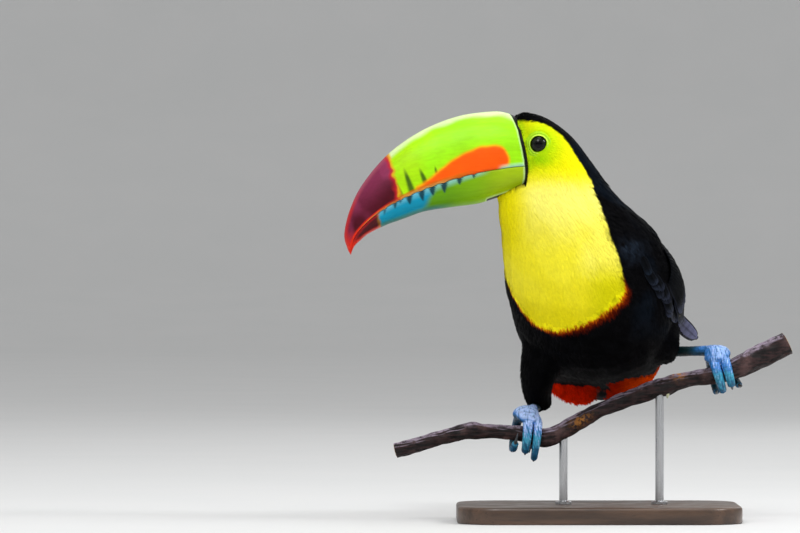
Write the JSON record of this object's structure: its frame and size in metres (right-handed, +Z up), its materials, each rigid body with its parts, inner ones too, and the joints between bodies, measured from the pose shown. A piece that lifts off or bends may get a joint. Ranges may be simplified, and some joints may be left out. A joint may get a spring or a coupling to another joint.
{
  "type": "keel-billed toucan",
  "caption": "Life-size keel-billed toucan with a long curved bill, wings folded, gripping a cut length of branch held over a flat base by slim rods.",
  "frame": {"origin": "centre of the stand base's flat underside, which rests on the floor", "axes": "+Z up; -Y is the way the bird's breast faces; -X is the way its head and bill point; the branch runs along X, its thick end at +X"},
  "size_m": [0.3166, 0.3134, 0.2886],
  "materials": {
    "black_plumage": "soft black feathers with a faint blue and maroon sheen",
    "yellow_plumage": "soft yellow feathers, matt",
    "bill": "horn, satin gloss, green with orange, maroon and blue marks",
    "eye": "wet gloss, nearly black",
    "foot_skin": "scaly skin, satin sky blue",
    "claw": "horn, grey, satin",
    "bark": "rough brown bark, pale wood at the cut ends",
    "base_wood": "dark stained wood, satin",
    "rod_steel": "brushed steel"
  },
  "bodies": {
    "root": {"bill_lower": "bill", "bill_upper": "bill", "claw_inner_back_left": "claw", "claw_inner_back_right": "claw", "claw_inner_front_left": "claw", "claw_inner_front_right": "claw", "claw_outer_back_left": "claw", "claw_outer_back_right": "claw", "claw_outer_front_left": "claw", "claw_outer_front_right": "claw", "eye_left": "eye", "eye_right": "eye", "foot_left": "foot_skin", "foot_right": "foot_skin", "head": "yellow_plumage", "neck": "yellow_plumage", "perch": "bark", "shank_left": "foot_skin", "shank_right": "foot_skin", "stand_base": "base_wood", "stand_rod_left": "rod_steel", "stand_rod_right": "rod_steel", "tail": "black_plumage", "thigh_left": "black_plumage", "thigh_right": "black_plumage", "toe_inner_back_left": "foot_skin", "toe_inner_back_right": "foot_skin", "toe_inner_front_left": "foot_skin", "toe_inner_front_right": "foot_skin", "toe_outer_back_left": "foot_skin", "toe_outer_back_right": "foot_skin", "toe_outer_front_left": "foot_skin", "toe_outer_front_right": "foot_skin", "trunk": "black_plumage", "wing_left": "black_plumage", "wing_right": "black_plumage"}
  },
  "joints": []
}
